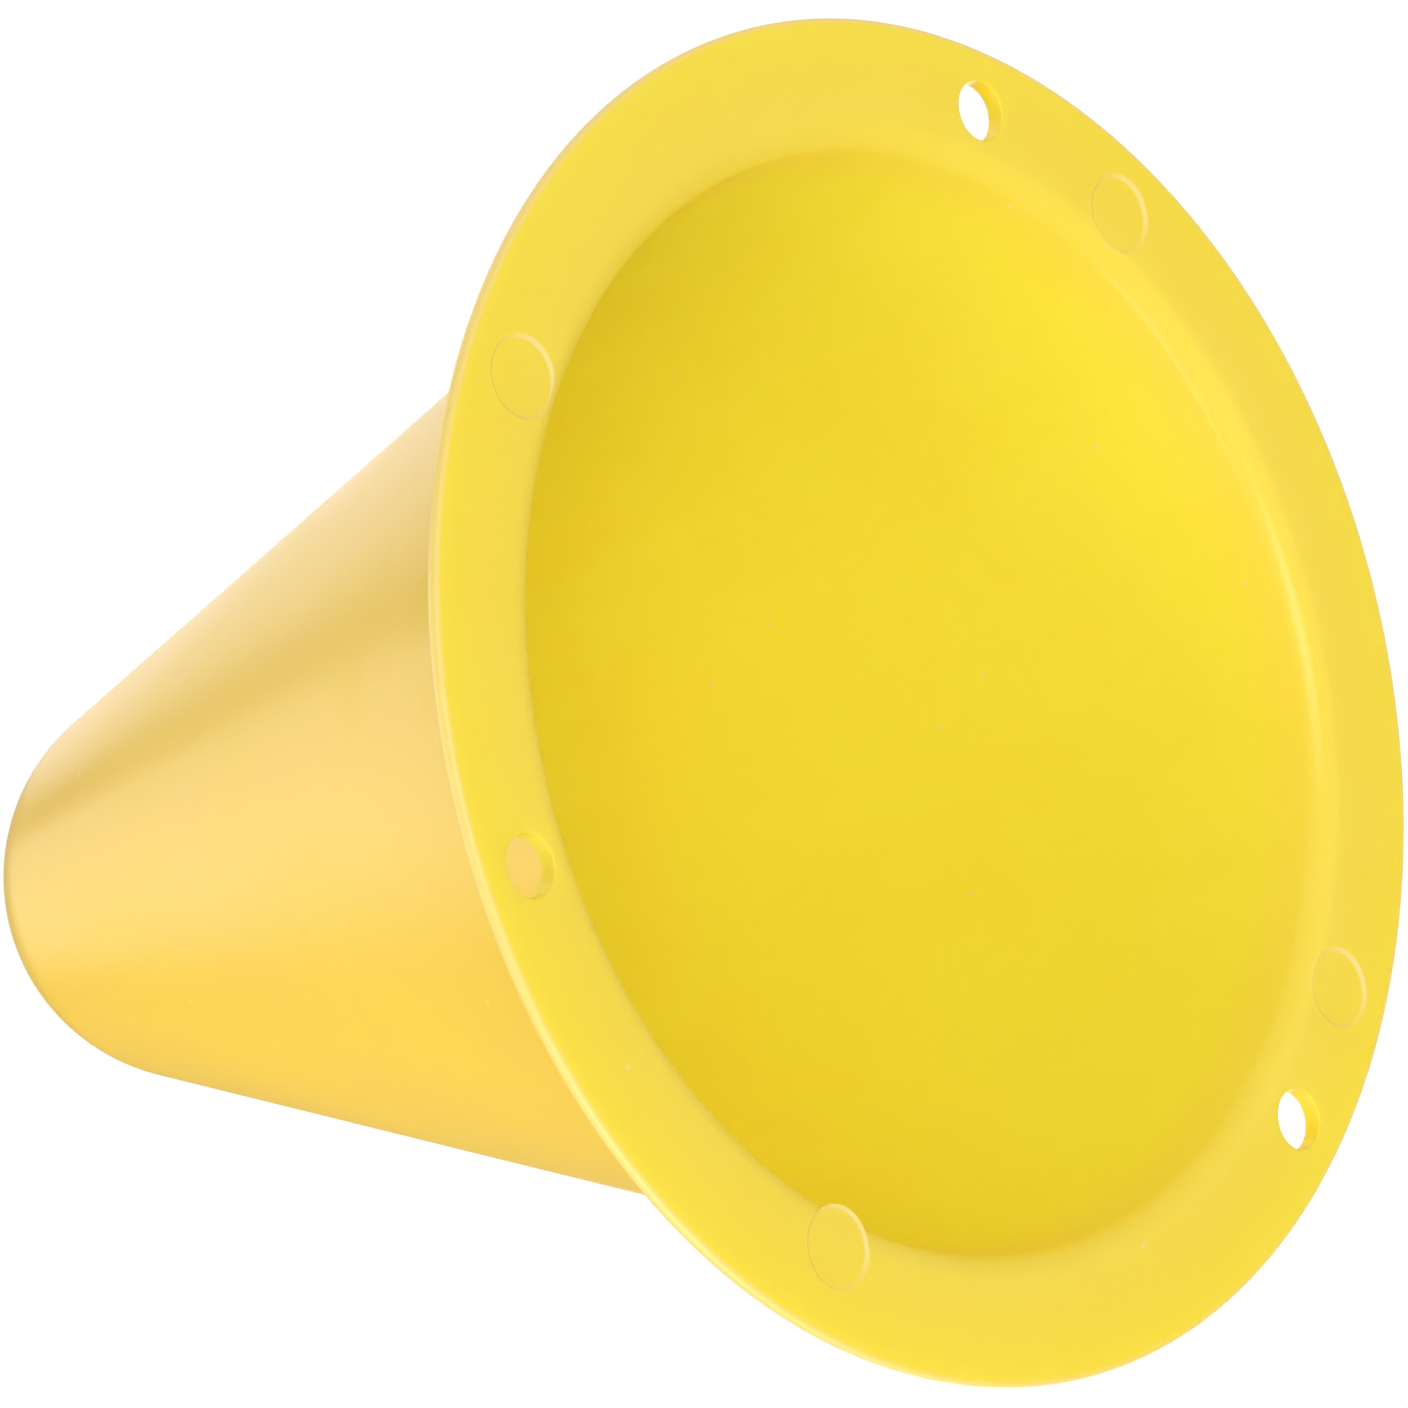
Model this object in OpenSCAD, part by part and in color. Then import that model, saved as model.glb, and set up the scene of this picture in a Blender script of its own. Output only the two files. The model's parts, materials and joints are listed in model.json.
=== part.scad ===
// Cone of a wasp trap: one thin-walled moulding with a flange around its mouth.
// Millimetres. The axis lies along Y: the mouth faces -Y and the nose points to +Y.
// The flange's mouth-side face is the plane y = 0, and one screw hole is straight up (+Z).

/* [Flange] */
// Outer diameter of the flange
flange_d = 75; // [70:0.5:90]
// Thickness of the flange
flange_t = 1.1; // [1.1:0.05:1.5]
// Rounding of the flange's outer edge on the mouth side
flange_edge_r = 0.2; // [0.1:0.05:0.3]
// Rounding of the flange's outer edge at the back
flange_back_r = 0.8; // [0.1:0.05:0.8]

/* [Cone] */
// Length from the flange's mouth-side face to the nose
cone_len = 73.5; // [50:0.5:100]
// Outer diameter of the cone where its slope meets the mouth-side face
cone_base_d = 63; // [50:0.5:64]
// Outer radius of the round nose
nose_r = 12.1; // [6:0.1:16]
// Wall thickness, square to the wall
wall = 0.8; // [0.6:0.05:1.5]
// Rounding from the mouth-side face into the cone
mouth_round = 1.8; // [0.5:0.1:2.2]
// Fillet between the flange's back and the cone's outside
back_fillet = 0.8; // [0.3:0.1:2]
// Diameter of the gate mark on the tip of the nose
gate_d = 1.8; // [1:0.1:3]
// How far the gate mark stands out of the nose
gate_h = 0.3; // [0.1:0.05:0.6]

/* [Screw holes] */
// Number of holes
hole_count = 3; // [2:1:6]
// Diameter of the circle through their centres
hole_pcd = 68; // [67:0.1:70]
// Diameter of each hole
hole_d = 3.4; // [2:0.1:4]

/* [Ejector marks] */
// Diameter of the round witness marks on the mouth-side face
mark_d = 4.4; // [3:0.1:5]
// Depth of the marks
mark_depth = 0.12; // [0.05:0.01:0.3]
// Distance of the upper, left and right marks from the axis
mark_r = 33.5; // [33:0.1:35]
// Directions of these marks around the axis, from +X towards +Z
mark_angles = [70, 165, 345];
// Distance of the lower mark from the axis, which reaches over the mouth's edge
low_mark_r = 32.5; // [32:0.1:34]
// Direction of the lower mark
low_mark_angle = 259.5; // [250:0.5:265]
// Thickness of the land that the lower mark leaves across the mouth's rounding
land_t = 0.7; // [0.3:0.1:0.8]

/* [Hidden] */
$fn = 96;
flange_r = flange_d / 2;
base_r = cone_base_d / 2;
// The nose is a ball that the slope touches, so its centre gives the cone's half angle
nose_y = cone_len - gate_h - nose_r;
slope = acos(nose_r / norm([base_r, nose_y])) - atan(nose_y / base_r);
// The wall's thickness measured square to the axis
wall_x = wall / cos(slope);
// Length of tangent that a rounding of radius 1 takes between the slope and a face square to the axis
tangent = tan((90 - slope) / 2);
arc_steps = 12;

// Radius of the cone's outside at distance y from the mouth-side face
function outer_r(y) = base_r - y * tan(slope);

// Points of a round stretch about centre c, from angle a0 to a1
function arc(c, r, a0, a1, steps) = [
  for (i = [0 : steps])
    c + r * [cos(a0 + (a1 - a0) * i / steps), sin(a0 + (a1 - a0) * i / steps)]
];

// The half section, as [distance from the axis, distance along it]
function section() = concat(
  arc([0, nose_y], nose_r, 90, slope, arc_steps),
  arc(
    [outer_r(flange_t) + back_fillet * tangent, flange_t + back_fillet],
    back_fillet, 180 + slope, 270, 6
  ),
  arc([flange_r - flange_back_r, flange_t - flange_back_r], flange_back_r, 90, 0, 6),
  arc([flange_r - flange_edge_r, flange_edge_r], flange_edge_r, 0, -90, 3),
  arc(
    [outer_r(0) - wall_x + mouth_round * tangent, mouth_round],
    mouth_round, -90, slope - 180, 6
  ),
  arc([0, nose_y], nose_r - wall, slope, 90, arc_steps)
);

// Puts its children at distance r from the axis in direction a, rising from y = 0 towards +Y
module around(a, r) {
  rotate([0, -a, 0])
    translate([r, 0, 0])
      rotate([-90, 0, 0])
        children();
}

module shell() {
  rotate([-90, 0, 0])
    rotate_extrude()
      polygon(section());
  around(0, 0)
    translate([0, 0, nose_y])
      cylinder(d = gate_d, h = nose_r + gate_h);
  around(low_mark_angle, low_mark_r)
    cylinder(d = mark_d, h = land_t);
}

// Everything inside the nose, so that the gate mark's root stays in the wall
module nose_hollow() {
  translate([0, nose_y, 0])
    sphere(r = nose_r - wall);
}

module mark(a, r) {
  around(a, r)
    translate([0, 0, -1])
      cylinder(d = mark_d, h = 1 + mark_depth);
}

module cone() {
  color([0.96, 0.84, 0.19])
    difference() {
      shell();
      nose_hollow();
      for (i = [0 : hole_count - 1])
        around(90 + 360 * i / hole_count, hole_pcd / 2)
          translate([0, 0, -1])
            cylinder(d = hole_d, h = flange_t + 2);
      for (a = mark_angles)
        mark(a, mark_r);
      mark(low_mark_angle, low_mark_r);
    }
}

cone();
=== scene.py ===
"""Flanged cone of a wasp trap: looks, lights and camera. Metres, in the CAD model's frame."""
import json
import math

import bmesh
import bpy
from mathutils import Matrix, Vector


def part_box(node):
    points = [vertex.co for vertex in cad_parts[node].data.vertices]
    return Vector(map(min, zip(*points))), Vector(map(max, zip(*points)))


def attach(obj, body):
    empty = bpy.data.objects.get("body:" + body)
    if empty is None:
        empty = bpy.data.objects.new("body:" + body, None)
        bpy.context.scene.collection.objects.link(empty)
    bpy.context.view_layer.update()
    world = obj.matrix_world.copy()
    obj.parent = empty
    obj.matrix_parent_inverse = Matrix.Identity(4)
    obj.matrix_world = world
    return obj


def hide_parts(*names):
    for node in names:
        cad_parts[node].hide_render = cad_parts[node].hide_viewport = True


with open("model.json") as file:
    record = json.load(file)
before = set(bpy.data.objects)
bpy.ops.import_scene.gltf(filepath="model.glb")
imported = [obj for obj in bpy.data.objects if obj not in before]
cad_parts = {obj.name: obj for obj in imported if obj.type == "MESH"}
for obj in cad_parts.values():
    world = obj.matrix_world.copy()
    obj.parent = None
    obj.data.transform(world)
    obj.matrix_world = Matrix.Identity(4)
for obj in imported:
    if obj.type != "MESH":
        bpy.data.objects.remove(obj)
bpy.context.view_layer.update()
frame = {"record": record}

MM = 0.001
cone_low, cone_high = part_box("cone")
holes = next(m for m in frame["record"]["mounts"] if m["name"] == "flange_holes")

# Sizes, in millimetres. The outer ones come from the CAD model's box and its mount.
FLANGE_R = (cone_high[0] - cone_low[0]) / 2 / MM
LENGTH = (cone_high[1] - cone_low[1]) / MM
HOLE_RING_R = holes["dims"]["pcd_mm"] / 2
HOLE_R = holes["dims"]["hole_r_mm"]
HOLE_ANGLES = [90, 210, 330]
FLANGE_T = 1.1
FLANGE_EDGE_R = 0.2
FLANGE_BACK_R = 0.8
BASE_R = 31.5
NOSE_R = 12.1
GATE_R = 0.9
GATE_H = 0.3
WALL = 0.8
MOUTH_ROUND = 1.8
BACK_FILLET = 0.8

# How far the gate mark's edge and the holes' edges are rounded
EDGE_BREAK = 0.12

# Ejector marks: direction from +X towards +Z, distance from the axis
MARKS = [(70, 33.5), (165, 33.5), (345, 33.5)]
LOW_MARK = (259.5, 32.5)
MARK_R = 2.2
MARK_DEPTH = 0.13
# The marks' edges slope from just outside their radius to just inside it
MARK_EDGE_OUT, MARK_EDGE_IN = 0.12, 0.1
# The land behind the lower mark: where it starts and ends, and how far it reaches past the mark
LAND_FOOT, LAND_T, LAND_LAP = 0.02, 0.7, 0.1

# The side, seen along the axis, where a highlight is painted on the marks' witness lines
HIGHLIGHT_SIDE = (0.7, 0, 0.7)
# Darker spots on the outside behind the flange: direction, distance along the axis, size
DARK_SPOTS = [(181.6, 11.5, 3.2), (191.3, 11, 2.2), (187, 20, 3)]

SEGMENTS = 384
PLUG_SEGMENTS = 96
SHARP_ANGLE = math.radians(28)

nose_y = LENGTH - GATE_H - NOSE_R
slope = math.acos(NOSE_R / math.hypot(BASE_R, nose_y)) - math.atan(nose_y / BASE_R)
wall_across = WALL / math.cos(slope)
tangent = math.tan((math.pi / 2 - slope) / 2)


def outer_r(y):
    return BASE_R - y * math.tan(slope)


def inner_r(y):
    return outer_r(y) - wall_across


def arc(r, y, radius, start, end, steps):
    """Points (distance from the axis, distance along it) on an arc, angles in radians."""
    turns = [start + (end - start) * i / steps for i in range(steps + 1)]
    return [(r + radius * math.cos(t), y + radius * math.sin(t)) for t in turns]


def line(a, b, steps):
    """Points strictly between a and b."""
    return [
        (a[0] + (b[0] - a[0]) * i / steps, a[1] + (b[1] - a[1]) * i / steps)
        for i in range(1, steps)
    ]


def half_section():
    """From the outer pole of the nose, round the flange, to the inner pole."""
    half = math.pi / 2
    gate_foot = math.acos((GATE_R + EDGE_BREAK) / NOSE_R)
    gate = [(0, LENGTH)]
    gate += arc(GATE_R - EDGE_BREAK, LENGTH - EDGE_BREAK, EDGE_BREAK, half, 0, 4)
    nose_out = arc(0, nose_y, NOSE_R, gate_foot, slope, 28)
    fillet = arc(
        outer_r(FLANGE_T) + BACK_FILLET * tangent,
        FLANGE_T + BACK_FILLET, BACK_FILLET, math.pi + slope, 3 * half, 7
    )
    rim_back = arc(
        FLANGE_R - FLANGE_BACK_R, FLANGE_T - FLANGE_BACK_R, FLANGE_BACK_R, half, 0, 8
    )
    rim_front = arc(FLANGE_R - FLANGE_EDGE_R, FLANGE_EDGE_R, FLANGE_EDGE_R, 0, -half, 5)
    mouth = arc(
        inner_r(0) + MOUTH_ROUND * tangent,
        MOUTH_ROUND, MOUTH_ROUND, -half, slope - math.pi, 12
    )
    nose_in = arc(0, nose_y, NOSE_R - WALL, slope, half, 26)
    points = gate
    # Each run, and the steps of the straight line that leads to it
    for run, steps in (
        (nose_out, 1), (fillet, 40), (rim_back, 8), (rim_front, 2), (mouth, 8), (nose_in, 40)
    ):
        points = points + line(points[-1], run[0], steps) + run
    return points[:-1] + [(0, points[-1][1])]


def revolve(name, section):
    """The section turned about the Y axis. Its first and last points lie on the axis."""
    rings = section[1:-1]
    count = len(rings)
    verts, faces = [], []
    for i in range(SEGMENTS):
        a = 2 * math.pi * i / SEGMENTS
        verts += [(r * math.cos(a) * MM, y * MM, r * math.sin(a) * MM) for r, y in rings]
    first, last = len(verts), len(verts) + 1
    verts += [(0, section[0][1] * MM, 0), (0, section[-1][1] * MM, 0)]
    for i in range(SEGMENTS):
        j = (i + 1) % SEGMENTS
        for k in range(count - 1):
            faces.append((i * count + k, i * count + k + 1, j * count + k + 1, j * count + k))
        faces.append((first, i * count, j * count))
        faces.append((last, j * count + count - 1, i * count + count - 1))
    return add_mesh(name, verts, faces)


def plug(name, section, angle, distance):
    """The section turned about a line parallel to the Y axis, with flat ends."""
    turn = math.radians(angle)
    centre = Vector((math.cos(turn), 0, math.sin(turn))) * distance
    verts, faces = [], []
    for i in range(PLUG_SEGMENTS):
        a = 2 * math.pi * i / PLUG_SEGMENTS
        for r, y in section:
            x, z = centre.x + r * math.cos(a), centre.z + r * math.sin(a)
            verts.append((x * MM, y * MM, z * MM))
    count = len(section)
    for i in range(PLUG_SEGMENTS):
        j = (i + 1) % PLUG_SEGMENTS
        for k in range(count - 1):
            faces.append((i * count + k, i * count + k + 1, j * count + k + 1, j * count + k))
    faces.append([i * count for i in reversed(range(PLUG_SEGMENTS))])
    faces.append([i * count + count - 1 for i in range(PLUG_SEGMENTS)])
    return add_mesh(name, verts, faces)


def add_mesh(name, verts, faces):
    mesh = bpy.data.meshes.new(name)
    mesh.from_pydata(verts, [], faces)
    bm = bmesh.new()
    bm.from_mesh(mesh)
    bmesh.ops.recalc_face_normals(bm, faces=bm.faces)
    bm.to_mesh(mesh)
    bm.free()
    piece = bpy.data.objects.new(name, mesh)
    bpy.context.scene.collection.objects.link(piece)
    return piece


def combine(piece, tool, operation):
    """Applies a boolean and removes the tool."""
    step = piece.modifiers.new("combine", "BOOLEAN")
    step.operation, step.object, step.solver = operation, tool, "EXACT"
    graph = bpy.context.evaluated_depsgraph_get()
    made = bpy.data.meshes.new_from_object(piece.evaluated_get(graph))
    piece.modifiers.clear()
    old, piece.data = piece.data, made
    bpy.data.meshes.remove(old)
    bpy.data.objects.remove(tool)


def hole_section():
    """A drill for a screw hole whose edges at both faces are slightly broken."""
    wide = HOLE_R + EDGE_BREAK
    front = arc(wide, EDGE_BREAK, EDGE_BREAK, -math.pi / 2, -math.pi, 4)
    back = arc(wide, FLANGE_T - EDGE_BREAK, EDGE_BREAK, math.pi, math.pi / 2, 4)
    return [(wide, -1)] + front + back + [(wide, FLANGE_T + 1)]


def mark_section():
    """A shallow dish with a sloping edge and a flat floor."""
    wide = MARK_R + MARK_EDGE_OUT
    return [(wide, -1), (wide, 0), (MARK_R - MARK_EDGE_IN, MARK_DEPTH)]


def land_section():
    """A short rod that thickens the mouth's rounding behind the lower mark."""
    return [(MARK_R + LAND_LAP, LAND_FOOT), (MARK_R + LAND_LAP, LAND_T)]


cone = revolve("flanged_cone", half_section())
combine(cone, plug("land", land_section(), *LOW_MARK), "UNION")
for angle in HOLE_ANGLES:
    combine(cone, plug("drill", hole_section(), angle, HOLE_RING_R), "DIFFERENCE")
for angle, distance in MARKS + [LOW_MARK]:
    combine(cone, plug("pin", mark_section(), angle, distance), "DIFFERENCE")
cone.data.shade_smooth()
cone.data.set_sharp_from_angle(angle=SHARP_ANGLE)
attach(cone, "root")
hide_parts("cone")


# Material ---------------------------------------------------------------------------------------


class Tree:
    """Short calls for building a node tree."""

    def __init__(self, tree):
        self.tree = tree

    def node(self, kind, **settings):
        made = self.tree.nodes.new(kind)
        for key, value in settings.items():
            setattr(made, key, value)
        return made

    def put(self, socket, value):
        if isinstance(value, bpy.types.NodeSocket):
            self.tree.links.new(value, socket)
        else:
            socket.default_value = value

    def math(self, operation, a, b=0.0):
        made = self.node("ShaderNodeMath", operation=operation)
        self.put(made.inputs[0], a)
        self.put(made.inputs[1], b)
        return made.outputs[0]

    def vector(self, operation, a, b=None):
        """A vector sum, or its number where the operation gives one."""
        made = self.node("ShaderNodeVectorMath", operation=operation)
        self.put(made.inputs[0], a)
        if b is not None:
            self.put(made.inputs[1], b)
        gives_number = operation in ("LENGTH", "DISTANCE", "DOT_PRODUCT")
        return made.outputs["Value" if gives_number else "Vector"]

    def ramp(self, value, low, high, to_low=0.0, to_high=1.0):
        """value from low..high, smoothly to to_low..to_high."""
        made = self.node("ShaderNodeMapRange", interpolation_type="SMOOTHSTEP")
        for socket, v in zip(made.inputs, (value, low, high, to_low, to_high)):
            self.put(socket, v)
        return made.outputs[0]

    def noise(self, vector, scale, detail=2.0, roughness=0.5):
        made = self.node("ShaderNodeTexNoise")
        self.put(made.inputs["Vector"], vector)
        self.put(made.inputs["Scale"], scale)
        self.put(made.inputs["Detail"], detail)
        self.put(made.inputs["Roughness"], roughness)
        return made.outputs["Fac"]

    def mix(self, factor, a, b):
        made = self.node("ShaderNodeMix", data_type="RGBA")
        self.put(made.inputs["Factor"], factor)
        # The colour sockets of a mix node that also has sockets for other kinds of value
        self.put(made.inputs[6], a)
        self.put(made.inputs[7], b)
        return made.outputs[2]


# Colours: witness lines with painted highlight, darker spots, richer clouds, rim highlight,
# specks
PALE = (0.995, 0.86, 0.38, 1)
DEEP = (0.93, 0.66, 0.02, 1)
RICH = (0.96, 0.78, 0.03, 1)
RIM_HIGHLIGHT = (0.99, 0.80, 0.45, 1)
DUST = (0.98, 0.88, 0.5, 1)

# Scales of the noises, per metre. The streaks' own is for a circle of radius 1.
STREAK_SCALE = 7.0
CLOUD_SCALE = 75.0
PEEL_SCALE = 420.0
GRAIN_SCALE = 2600.0
SPECK_SCALE = 210.0
BUMP_STRENGTH = 0.2
BUMP_DISTANCE = 0.00006
PLASTIC_IOR = 1.5


def paler(colour, blue):
    """The colour with its blue, which is what paleness shows in, multiplied."""
    return (colour[0], colour[1], colour[2] * blue, 1)


def on_cone(angle, y, r):
    """A point in metres, from its direction around the axis and its places along and off it."""
    turn = math.radians(angle)
    return Vector((r * math.cos(turn), y, r * math.sin(turn))) * MM


def witness_lines_and_highlight(t, where):
    """Pale witness lines round the ejector marks, strongest on one side: a painted highlight."""
    total = 0.0
    for angle, r in MARKS + [LOW_MARK]:
        offset = t.vector("SUBTRACT", where, on_cone(angle, MARK_DEPTH / 2, r))
        gap = t.math("SUBTRACT", t.vector("LENGTH", offset), MARK_R * MM)
        ring = t.ramp(t.math("ABSOLUTE", gap), 0.06 * MM, 0.22 * MM, 1.0, 0.0)
        side = t.vector("DOT_PRODUCT", t.vector("NORMALIZE", offset), HIGHLIGHT_SIDE)
        strength = t.ramp(side, 0.1, 0.95, 0.25, 0.9)
        total = t.math("ADD", total, t.math("MULTIPLY", ring, strength))
    return total


def dark_spots(t, where):
    """Soft darker marks on the outside, close behind the flange."""
    total = 0.0
    for angle, y, size in DARK_SPOTS:
        away = t.vector("DISTANCE", where, on_cone(angle, y, outer_r(y)))
        total = t.math("ADD", total, t.ramp(away, 0.3 * size * MM, size * MM, 0.5, 0.0))
    return total


def plastic(name, tints, rough, glow, ripple, with_dark_spots):
    """Thin translucent yellow plastic, with tints for the flange, the wall and the nose."""
    flange_tint, wall_tint, nose_tint = tints
    material = bpy.data.materials.new(name)
    material.use_nodes = True
    tree = material.node_tree
    tree.nodes.clear()
    t = Tree(tree)
    where = t.node("ShaderNodeTexCoord").outputs["Object"]
    split = t.node("ShaderNodeSeparateXYZ")
    t.put(split.inputs[0], where)
    x, y, z = split.outputs
    squares = t.math("ADD", t.math("MULTIPLY", x, x), t.math("MULTIPLY", z, z))
    from_axis = t.math("SQRT", squares)

    # Melt streaks run from the nose to the rim: fast changes around, slow ones along
    along = t.math("ADD", t.math("MULTIPLY", y, 6.0), t.math("MULTIPLY", from_axis, 12.0))
    streak_at = t.node("ShaderNodeCombineXYZ")
    t.put(streak_at.inputs[0], t.math("DIVIDE", x, from_axis))
    t.put(streak_at.inputs[1], along)
    t.put(streak_at.inputs[2], t.math("DIVIDE", z, from_axis))
    streaks = t.noise(streak_at.outputs[0], STREAK_SCALE, 3.0, 0.6)
    clouds = t.noise(where, CLOUD_SCALE, 3.0, 0.55)
    peel = t.noise(where, PEEL_SCALE, 2.0, 0.5)
    grain = t.noise(where, GRAIN_SCALE, 1.0, 0.5)

    # Specks: small pale nicks and dust, a fraction of a millimetre across
    cells = t.node("ShaderNodeTexVoronoi", feature="F1")
    t.put(cells.inputs["Vector"], where)
    t.put(cells.inputs["Scale"], SPECK_SCALE)
    speck = t.ramp(cells.outputs["Distance"], 0.025, 0.045, 1.0, 0.0)

    # Painted sheen: the flange pales from its rim to the mouth's edge. The wall has its own
    # tints.
    face = t.mix(t.ramp(from_axis, 30 * MM, 37 * MM), paler(flange_tint, 1.4), flange_tint)
    wall = t.mix(t.ramp(y, 10 * MM, 60 * MM), wall_tint, nose_tint)
    tint = t.mix(t.ramp(y, 0.6 * MM, 5 * MM), face, wall)
    tone = t.math("ADD", t.math("MULTIPLY", streaks, 0.3), t.math("MULTIPLY", clouds, 0.7))
    colour = t.mix(t.ramp(tone, 0.38, 0.62), tint, t.mix(0.16, tint, RICH))
    # Painted highlight: the rim's edge is paler, as if lit and shone through
    colour = t.mix(t.ramp(from_axis, 37.1 * MM, 37.4 * MM, 0.0, 0.55), colour, RIM_HIGHLIGHT)
    colour = t.mix(t.math("MULTIPLY", speck, 0.5), colour, DUST)
    # Pale witness lines round the marks, with a painted highlight on one side
    colour = t.mix(witness_lines_and_highlight(t, where), colour, PALE)
    if with_dark_spots:
        colour = t.mix(dark_spots(t, where), colour, DEEP)

    dull = t.math("ADD", t.math("MULTIPLY", t.math("SUBTRACT", clouds, 0.5), 0.14), rough)

    height = t.math("MULTIPLY", peel, ripple)
    height = t.math("ADD", height, t.math("MULTIPLY", grain, 0.05))
    height = t.math("ADD", height, t.math("MULTIPLY", streaks, 0.6))
    bump = t.node("ShaderNodeBump")
    bump.inputs["Strength"].default_value = BUMP_STRENGTH
    bump.inputs["Distance"].default_value = BUMP_DISTANCE
    t.put(bump.inputs["Height"], height)

    surface = t.node("ShaderNodeBsdfPrincipled")
    t.put(surface.inputs["Base Color"], colour)
    t.put(surface.inputs["Roughness"], dull)
    surface.inputs["IOR"].default_value = PLASTIC_IOR
    t.put(surface.inputs["Normal"], bump.outputs[0])
    through = t.node("ShaderNodeBsdfTranslucent")
    t.put(through.inputs["Color"], colour)
    both = t.node("ShaderNodeMixShader")
    both.inputs[0].default_value = glow
    t.put(both.inputs[1], surface.outputs[0])
    t.put(both.inputs[2], through.outputs[0])
    t.put(t.node("ShaderNodeOutputMaterial").inputs["Surface"], both.outputs[0])
    return material


# Painted light: the inside's wall tints are lighter than its flange's, most towards the nose
inside = plastic(
    "yellow_plastic_gloss",
    ((0.98, 0.87, 0.08, 1), (0.99, 0.96, 0.085, 1), (0.995, 0.985, 0.11, 1)),
    rough=0.30, glow=0.40, ripple=0.5, with_dark_spots=False
)
outside = plastic(
    "yellow_plastic_satin",
    [(0.95, 0.67, 0.08, 1)] * 3,
    rough=0.32, glow=0.28, ripple=1.0, with_dark_spots=True
)
cone.data.materials.clear()
cone.data.materials.append(inside)
cone.data.materials.append(outside)


def is_outside(centre):
    """True on the cone's outside and the flange's back."""
    r, y = math.hypot(centre.x, centre.z) / MM, centre.y / MM
    if y < FLANGE_T - 0.01:
        return False
    if y > nose_y:
        return math.hypot(r, y - nose_y) > NOSE_R - WALL / 2
    return r > (inner_r(y) + outer_r(y)) / 2


for face in cone.data.polygons:
    face.material_index = 1 if is_outside(face.center) else 0


# Camera, floor and light ------------------------------------------------------------------------


def direction(azimuth, elevation):
    """Unit vector from the object towards a camera there. Azimuth 0 looks along +Y."""
    a, e = math.radians(azimuth), math.radians(elevation)
    return Vector((math.sin(a) * math.cos(e), -math.cos(a) * math.cos(e), math.sin(e)))


VIEW_AZIMUTH, VIEW_ELEVATION, VIEW_ROLL = -43.24, -17.58, 3.69
VIEW_DISTANCE = 0.4321
VIEW_AIM = Vector((-0.00932, 0.00931, -0.00127))
VIEW_LENS, VIEW_SENSOR = 204.545, 36
VIEW_CLIP = (0.01, 20)

view_data = bpy.data.cameras.new("camera")
view_data.lens = VIEW_LENS
view_data.sensor_width = VIEW_SENSOR
view_data.clip_start, view_data.clip_end = VIEW_CLIP
camera = bpy.data.objects.new("camera", view_data)
bpy.context.scene.collection.objects.link(camera)
back = direction(VIEW_AZIMUTH, VIEW_ELEVATION)
camera.matrix_world = (
    Matrix.Translation(VIEW_AIM + back * VIEW_DISTANCE)
    @ (-back).to_track_quat("-Z", "Y").to_matrix().to_4x4()
    @ Matrix.Rotation(math.radians(VIEW_ROLL), 4, "Z")
)
bpy.context.scene.camera = camera

LIGHT_AIM = Vector((0, 0.03, 0))


def softbox(name, azimuth, elevation, distance, size, watts):
    """A large area light that faces the object."""
    lamp = bpy.data.lights.new(name, "AREA")
    lamp.shape, lamp.size, lamp.size_y, lamp.energy = "RECTANGLE", size[0], size[1], watts
    piece = bpy.data.objects.new(name, lamp)
    toward = direction(azimuth, elevation)
    piece.location = LIGHT_AIM + toward * distance
    piece.rotation_euler = toward.to_track_quat("Z", "Y").to_euler()
    piece.visible_camera = False
    bpy.context.scene.collection.objects.link(piece)


softbox("softbox_back", -168, 2, 0.7, (0.44, 0.34), 0.95)
softbox("softbox_high", 166, 28, 0.7, (0.6, 0.14), 0.38)
softbox("softbox_right", 118, 5, 0.7, (0.5, 0.5), 2.0)
softbox("softbox_low", -110, -78, 0.6, (0.5, 0.5), 2.4)
softbox("softbox_top", -150, 62, 0.8, (0.8, 0.8), 1.8)
softbox("softbox_key", -36, -12, 1.0, (0.5, 0.5), 5.2)
softbox("softbox_fill", 14, 12, 1.0, (0.8, 0.8), 1.1)

# The floor lies below the lowest light, and reaches this far each way
FLOOR_Z = -0.7
FLOOR_HALF = 4
corners = [(-1, -1), (1, -1), (1, 1), (-1, 1)]
floor = add_mesh(
    "floor", [(x * FLOOR_HALF, y * FLOOR_HALF, FLOOR_Z) for x, y in corners], [(0, 1, 2, 3)]
)
paper = bpy.data.materials.new("pale_paper")
paper.use_nodes = True
paper_surface = paper.node_tree.nodes["Principled BSDF"]
paper_surface.inputs["Base Color"].default_value = (0.86, 0.86, 0.86, 1)
paper_surface.inputs["Roughness"].default_value = 0.9
floor.data.materials.append(paper)
floor.visible_glossy = False

# A white room, dim below the horizon. The camera sees plain white.
world = bpy.data.worlds.new("studio")
world.use_nodes = True
room = Tree(world.node_tree)
sky = world.node_tree.nodes["Background"]
sky.inputs["Color"].default_value = (1, 1, 1, 1)
look = room.node("ShaderNodeSeparateXYZ")
room.put(look.inputs[0], room.node("ShaderNodeTexCoord").outputs["Generated"])
glow = room.ramp(look.outputs[2], 0.10, 0.42, 0.30, 0.6)
seen = room.node("ShaderNodeLightPath").outputs["Is Camera Ray"]
room.put(sky.inputs["Strength"], room.math("MAXIMUM", glow, seen))
bpy.context.scene.world = world
bpy.context.scene.view_settings.view_transform = "Standard"
